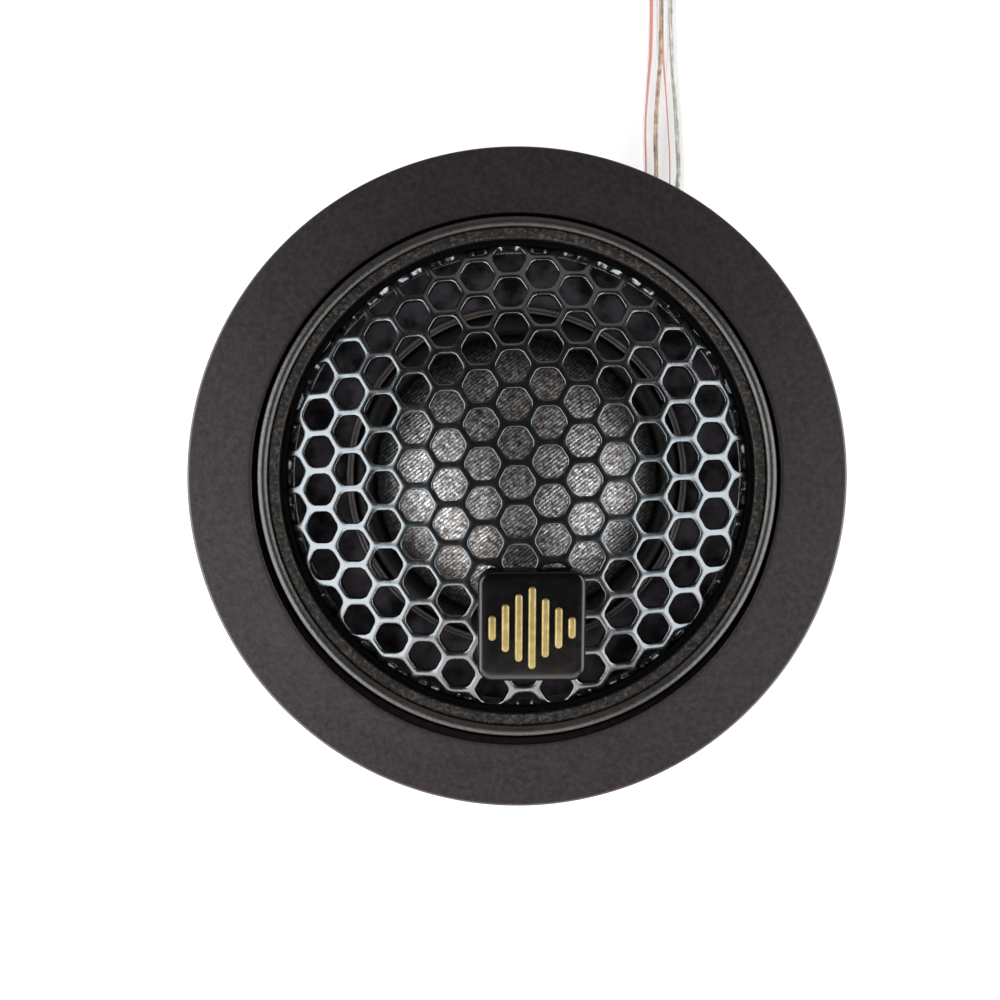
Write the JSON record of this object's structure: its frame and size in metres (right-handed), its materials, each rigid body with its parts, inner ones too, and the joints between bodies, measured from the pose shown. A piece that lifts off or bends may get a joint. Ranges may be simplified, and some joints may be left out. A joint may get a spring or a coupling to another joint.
{
  "type": "car tweeter",
  "caption": "Round flush-mount dome tweeter behind a domed honeycomb grille, twist-locked in a flanged panel cup with a lock nut, with a coiled twin lead.",
  "frame": {"origin": "on the sound axis at the back face of the rear housing, where the tweeter rests on its back", "axes": "+Z along the sound axis, out of the grille; +Y is the side that the lead leaves from"},
  "size_m": [0.0603, 0.1254, 0.0248],
  "materials": {
    "flange_plastic": "fine satin texture",
    "bezel_plastic": "satin bead and coarse spark texture",
    "housing_plastic": "moulded satin",
    "faceplate_plastic": "moulded satin",
    "grille_steel": "satin black paint",
    "badge_plastic": "gloss",
    "gold_foil": "satin gold",
    "silk": "coated woven silk",
    "surround_silk": "doped silk",
    "ring_plastic": "satin",
    "former_paper": "matt",
    "copper": "enamelled winding wire",
    "motor_steel": "zinc plated",
    "magnet_nickel": "nickel plated",
    "felt": "pressed felt",
    "board_laminate": "solder-masked laminate",
    "tinned_brass": "tinned",
    "screw_steel": "zinc plated",
    "wire_insulation": "satin",
    "grommet_rubber": "matt",
    "clear_jacket": "clear soft vinyl over copper strands",
    "tinned_copper": "solder dipped",
    "gasket_foam": "closed-cell foam",
    "nylon": "natural nylon",
    "nut_plastic": "moulded satin"
  },
  "bodies": {
    "tweeter": {"rear_housing": "housing_plastic", "faceplate": "faceplate_plastic", "front_bezel": "bezel_plastic", "grille": "grille_steel", "badge_plate": "badge_plastic", "badge_emblem": "gold_foil", "surround": "surround_silk", "surround_ring": "ring_plastic", "tinsel_leads": "copper", "pole_plate": "motor_steel", "magnet": "magnet_nickel", "yoke_cup": "motor_steel", "dome_damping_pad": "felt", "rear_felt_pad": "felt", "terminal_board": "board_laminate", "positive_terminal": "tinned_brass", "negative_terminal": "tinned_brass", "lead_eyelets": "tinned_brass", "hookup_wires": "wire_insulation", "lead_cores": "copper", "housing_screws": "screw_steel", "lead_grommet": "grommet_rubber", "lead_tube": "clear_jacket", "lead_coil": "clear_jacket", "lead_tail": "clear_jacket", "stripped_ends": "tinned_copper"},
    "diaphragm": {"dome": "silk", "coil_former": "former_paper", "voice_coil": "copper"},
    "mount_cup": {"flush_cup": "flange_plastic", "mount_gasket": "gasket_foam"},
    "clamp_washer": {"slip_washer": "nylon"},
    "clamp_nut": {"lock_nut": "nut_plastic"}
  },
  "joints": [
    {"name": "diaphragm_travel", "type": "slide", "parent": "tweeter", "child": "diaphragm", "axis": [0, 0, 1], "range_m": [-0.0003, 0.0003], "stiffness_N_per_m": 1500, "deforming": ["surround", "tinsel_leads"]},
    {"name": "twist_lock", "type": "hinge", "parent": "tweeter", "child": "mount_cup", "pos_m": [0, 0, 0.01], "axis": [0, 0, 1], "range_deg": [-20, 0]},
    {"name": "washer_travel", "type": "slide", "parent": "mount_cup", "child": "clamp_washer", "axis": [0, 0, 1], "range_m": [-0.001, 0.0035]},
    {"name": "nut_turn", "type": "hinge", "parent": "clamp_washer", "child": "clamp_nut", "pos_m": [0, 0, 0.01], "axis": [0, 0, 1], "range_deg": [-120, 420]}
  ],
  "couplings": [
    {"joint": "washer_travel", "follows": "nut_turn", "m_per_rad": 0.00047746}
  ]
}
